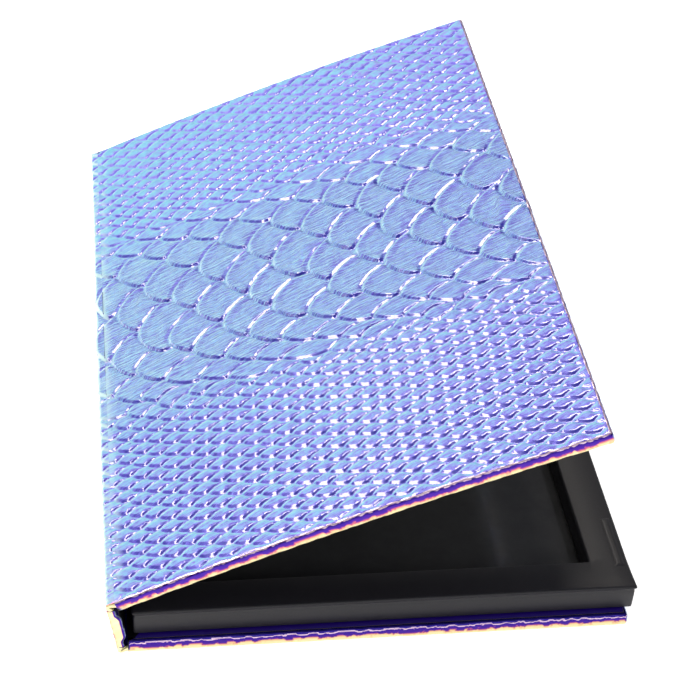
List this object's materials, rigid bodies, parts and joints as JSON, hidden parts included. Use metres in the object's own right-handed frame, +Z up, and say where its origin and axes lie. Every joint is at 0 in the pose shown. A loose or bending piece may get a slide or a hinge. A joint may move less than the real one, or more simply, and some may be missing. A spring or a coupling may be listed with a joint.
{
  "type": "magnetic makeup palette",
  "caption": "Empty book-style magnetic makeup palette: embossed leather case with a folding lid and spine, and a shallow tray with a magnetic floor.",
  "frame": {"origin": "middle of the base panel's underside, on the surface that the palette lies on", "axes": "+Z up; +X from the spine to the fore-edge that opens; +Y along the spine, away from the camera in the picture"},
  "size_m": [0.1256, 0.2, 0.0602],
  "materials": {
    "embossed_leather": "coated split leather embossed with reptile scales, with a blue to violet pearl foil that turns pink and cream at its edges",
    "greyboard": "uncoated recycled greyboard",
    "black_paper": "matt black covering paper",
    "gloss_film": "gloss black vinyl film",
    "ferrite_sheet": "flexible rubber-bonded magnetic sheet",
    "nickel_plate": "bright nickel plating on a bar magnet",
    "keeper_steel": "plain rolled steel strip"
  },
  "bodies": {
    "base": {"base_cover": "embossed_leather", "base_board": "greyboard", "lower_crease": "embossed_leather", "tray_frame_1": "greyboard", "tray_frame_2": "greyboard", "tray_frame_3": "greyboard", "tray_wrap": "black_paper", "closure_magnet_near": "nickel_plate", "closure_magnet_far": "nickel_plate", "magnetic_sheet": "ferrite_sheet", "floor_film": "gloss_film"},
    "spine": {"spine_cover": "embossed_leather", "spine_board": "greyboard", "spine_lining": "black_paper", "upper_crease": "embossed_leather"},
    "lid": {"lid_cover": "embossed_leather", "lid_board": "greyboard", "lid_lining": "black_paper", "lid_keeper_near": "keeper_steel", "lid_keeper_far": "keeper_steel"}
  },
  "joints": [
    {"name": "base_crease", "type": "hinge", "parent": "base", "child": "spine", "pos_m": [-0.0614, 0, 0.00085], "axis": [0, -1, 0], "range_deg": [-9.8, 80.2]},
    {"name": "lid_crease", "type": "hinge", "parent": "spine", "child": "lid", "pos_m": [-0.06384, 0, 0.01499], "axis": [0, -1, 0], "range_deg": [-12.4, 77]}
  ]
}
